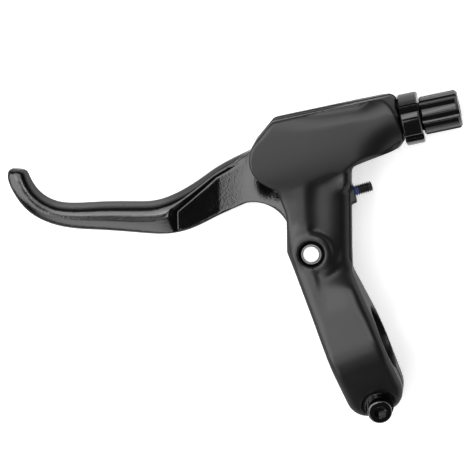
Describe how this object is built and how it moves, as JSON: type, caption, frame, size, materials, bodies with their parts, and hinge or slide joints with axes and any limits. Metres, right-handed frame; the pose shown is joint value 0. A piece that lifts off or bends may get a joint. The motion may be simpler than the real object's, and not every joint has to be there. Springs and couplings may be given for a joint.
{
  "type": "bicycle brake lever",
  "caption": "Black bicycle brake lever for a flat bar: two-finger blade, slotted barrel adjuster with lock ring, reach screw, swivelling cable anchor and split bar clamp.",
  "frame": {"origin": "centre of the handlebar clamp bore, midway along it", "axes": "+X along the bar toward the barrel adjuster, +Y from the bar out to the lever blade, +Z along the lever's pivot, up when the lever is laid flat"},
  "size_m": [0.156, 0.129, 0.0296],
  "materials": {
    "satin_black_alloy": "satin black coat over a casting",
    "gloss_black_alloy": "gloss black coat over a forging",
    "gloss_black_resin": "moulded gloss black",
    "bright_steel": "zinc plated",
    "black_steel": "black oxide",
    "spring_steel": "drawn wire",
    "bush_nylon": "natural nylon",
    "anchor_brass": "turned brass"
  },
  "bodies": {
    "bracket": {"bracket_body": "satin_black_alloy", "pivot_bolt": "bright_steel", "pivot_nut": "bright_steel", "return_spring": "spring_steel", "clamp_bolt": "black_steel", "clamp_washer": "black_steel"},
    "lever": {"lever_blade": "gloss_black_alloy", "pivot_bush_front": "bush_nylon", "pivot_bush_rear": "bush_nylon"},
    "anchor": {"cable_anchor": "anchor_brass"},
    "adjuster": {"barrel_adjuster": "gloss_black_resin"},
    "ring": {"lock_ring": "gloss_black_resin"},
    "reach": {"reach_screw": "black_steel"}
  },
  "joints": [
    {"name": "lever_pull", "type": "hinge", "parent": "bracket", "child": "lever", "pos_m": [-0.0017, 0.0372, 0], "axis": [0, 0, 1], "range_deg": [0, 24], "stiffness_Nm_per_rad": 0.08, "springref_deg": -34.38, "deforming": ["return_spring"]},
    {"name": "anchor_swivel", "type": "hinge", "parent": "lever", "child": "anchor", "pos_m": [0.01257, 0.07307, 0], "axis": [0, 0, 1], "range_deg": [-30, 10]},
    {"name": "adjuster_travel", "type": "slide", "parent": "bracket", "child": "adjuster", "axis": [0.9857, -0.1685, 0], "range_m": [0, 0.007]},
    {"name": "ring_turn", "type": "hinge", "parent": "adjuster", "child": "ring", "pos_m": [0.04367, 0.0682, 0], "axis": [0.9857, -0.1685, 0], "continuous": true},
    {"name": "reach_travel", "type": "slide", "parent": "bracket", "child": "reach", "axis": [0.9954, -0.0958, 0], "range_m": [0, 0.004]}
  ]
}
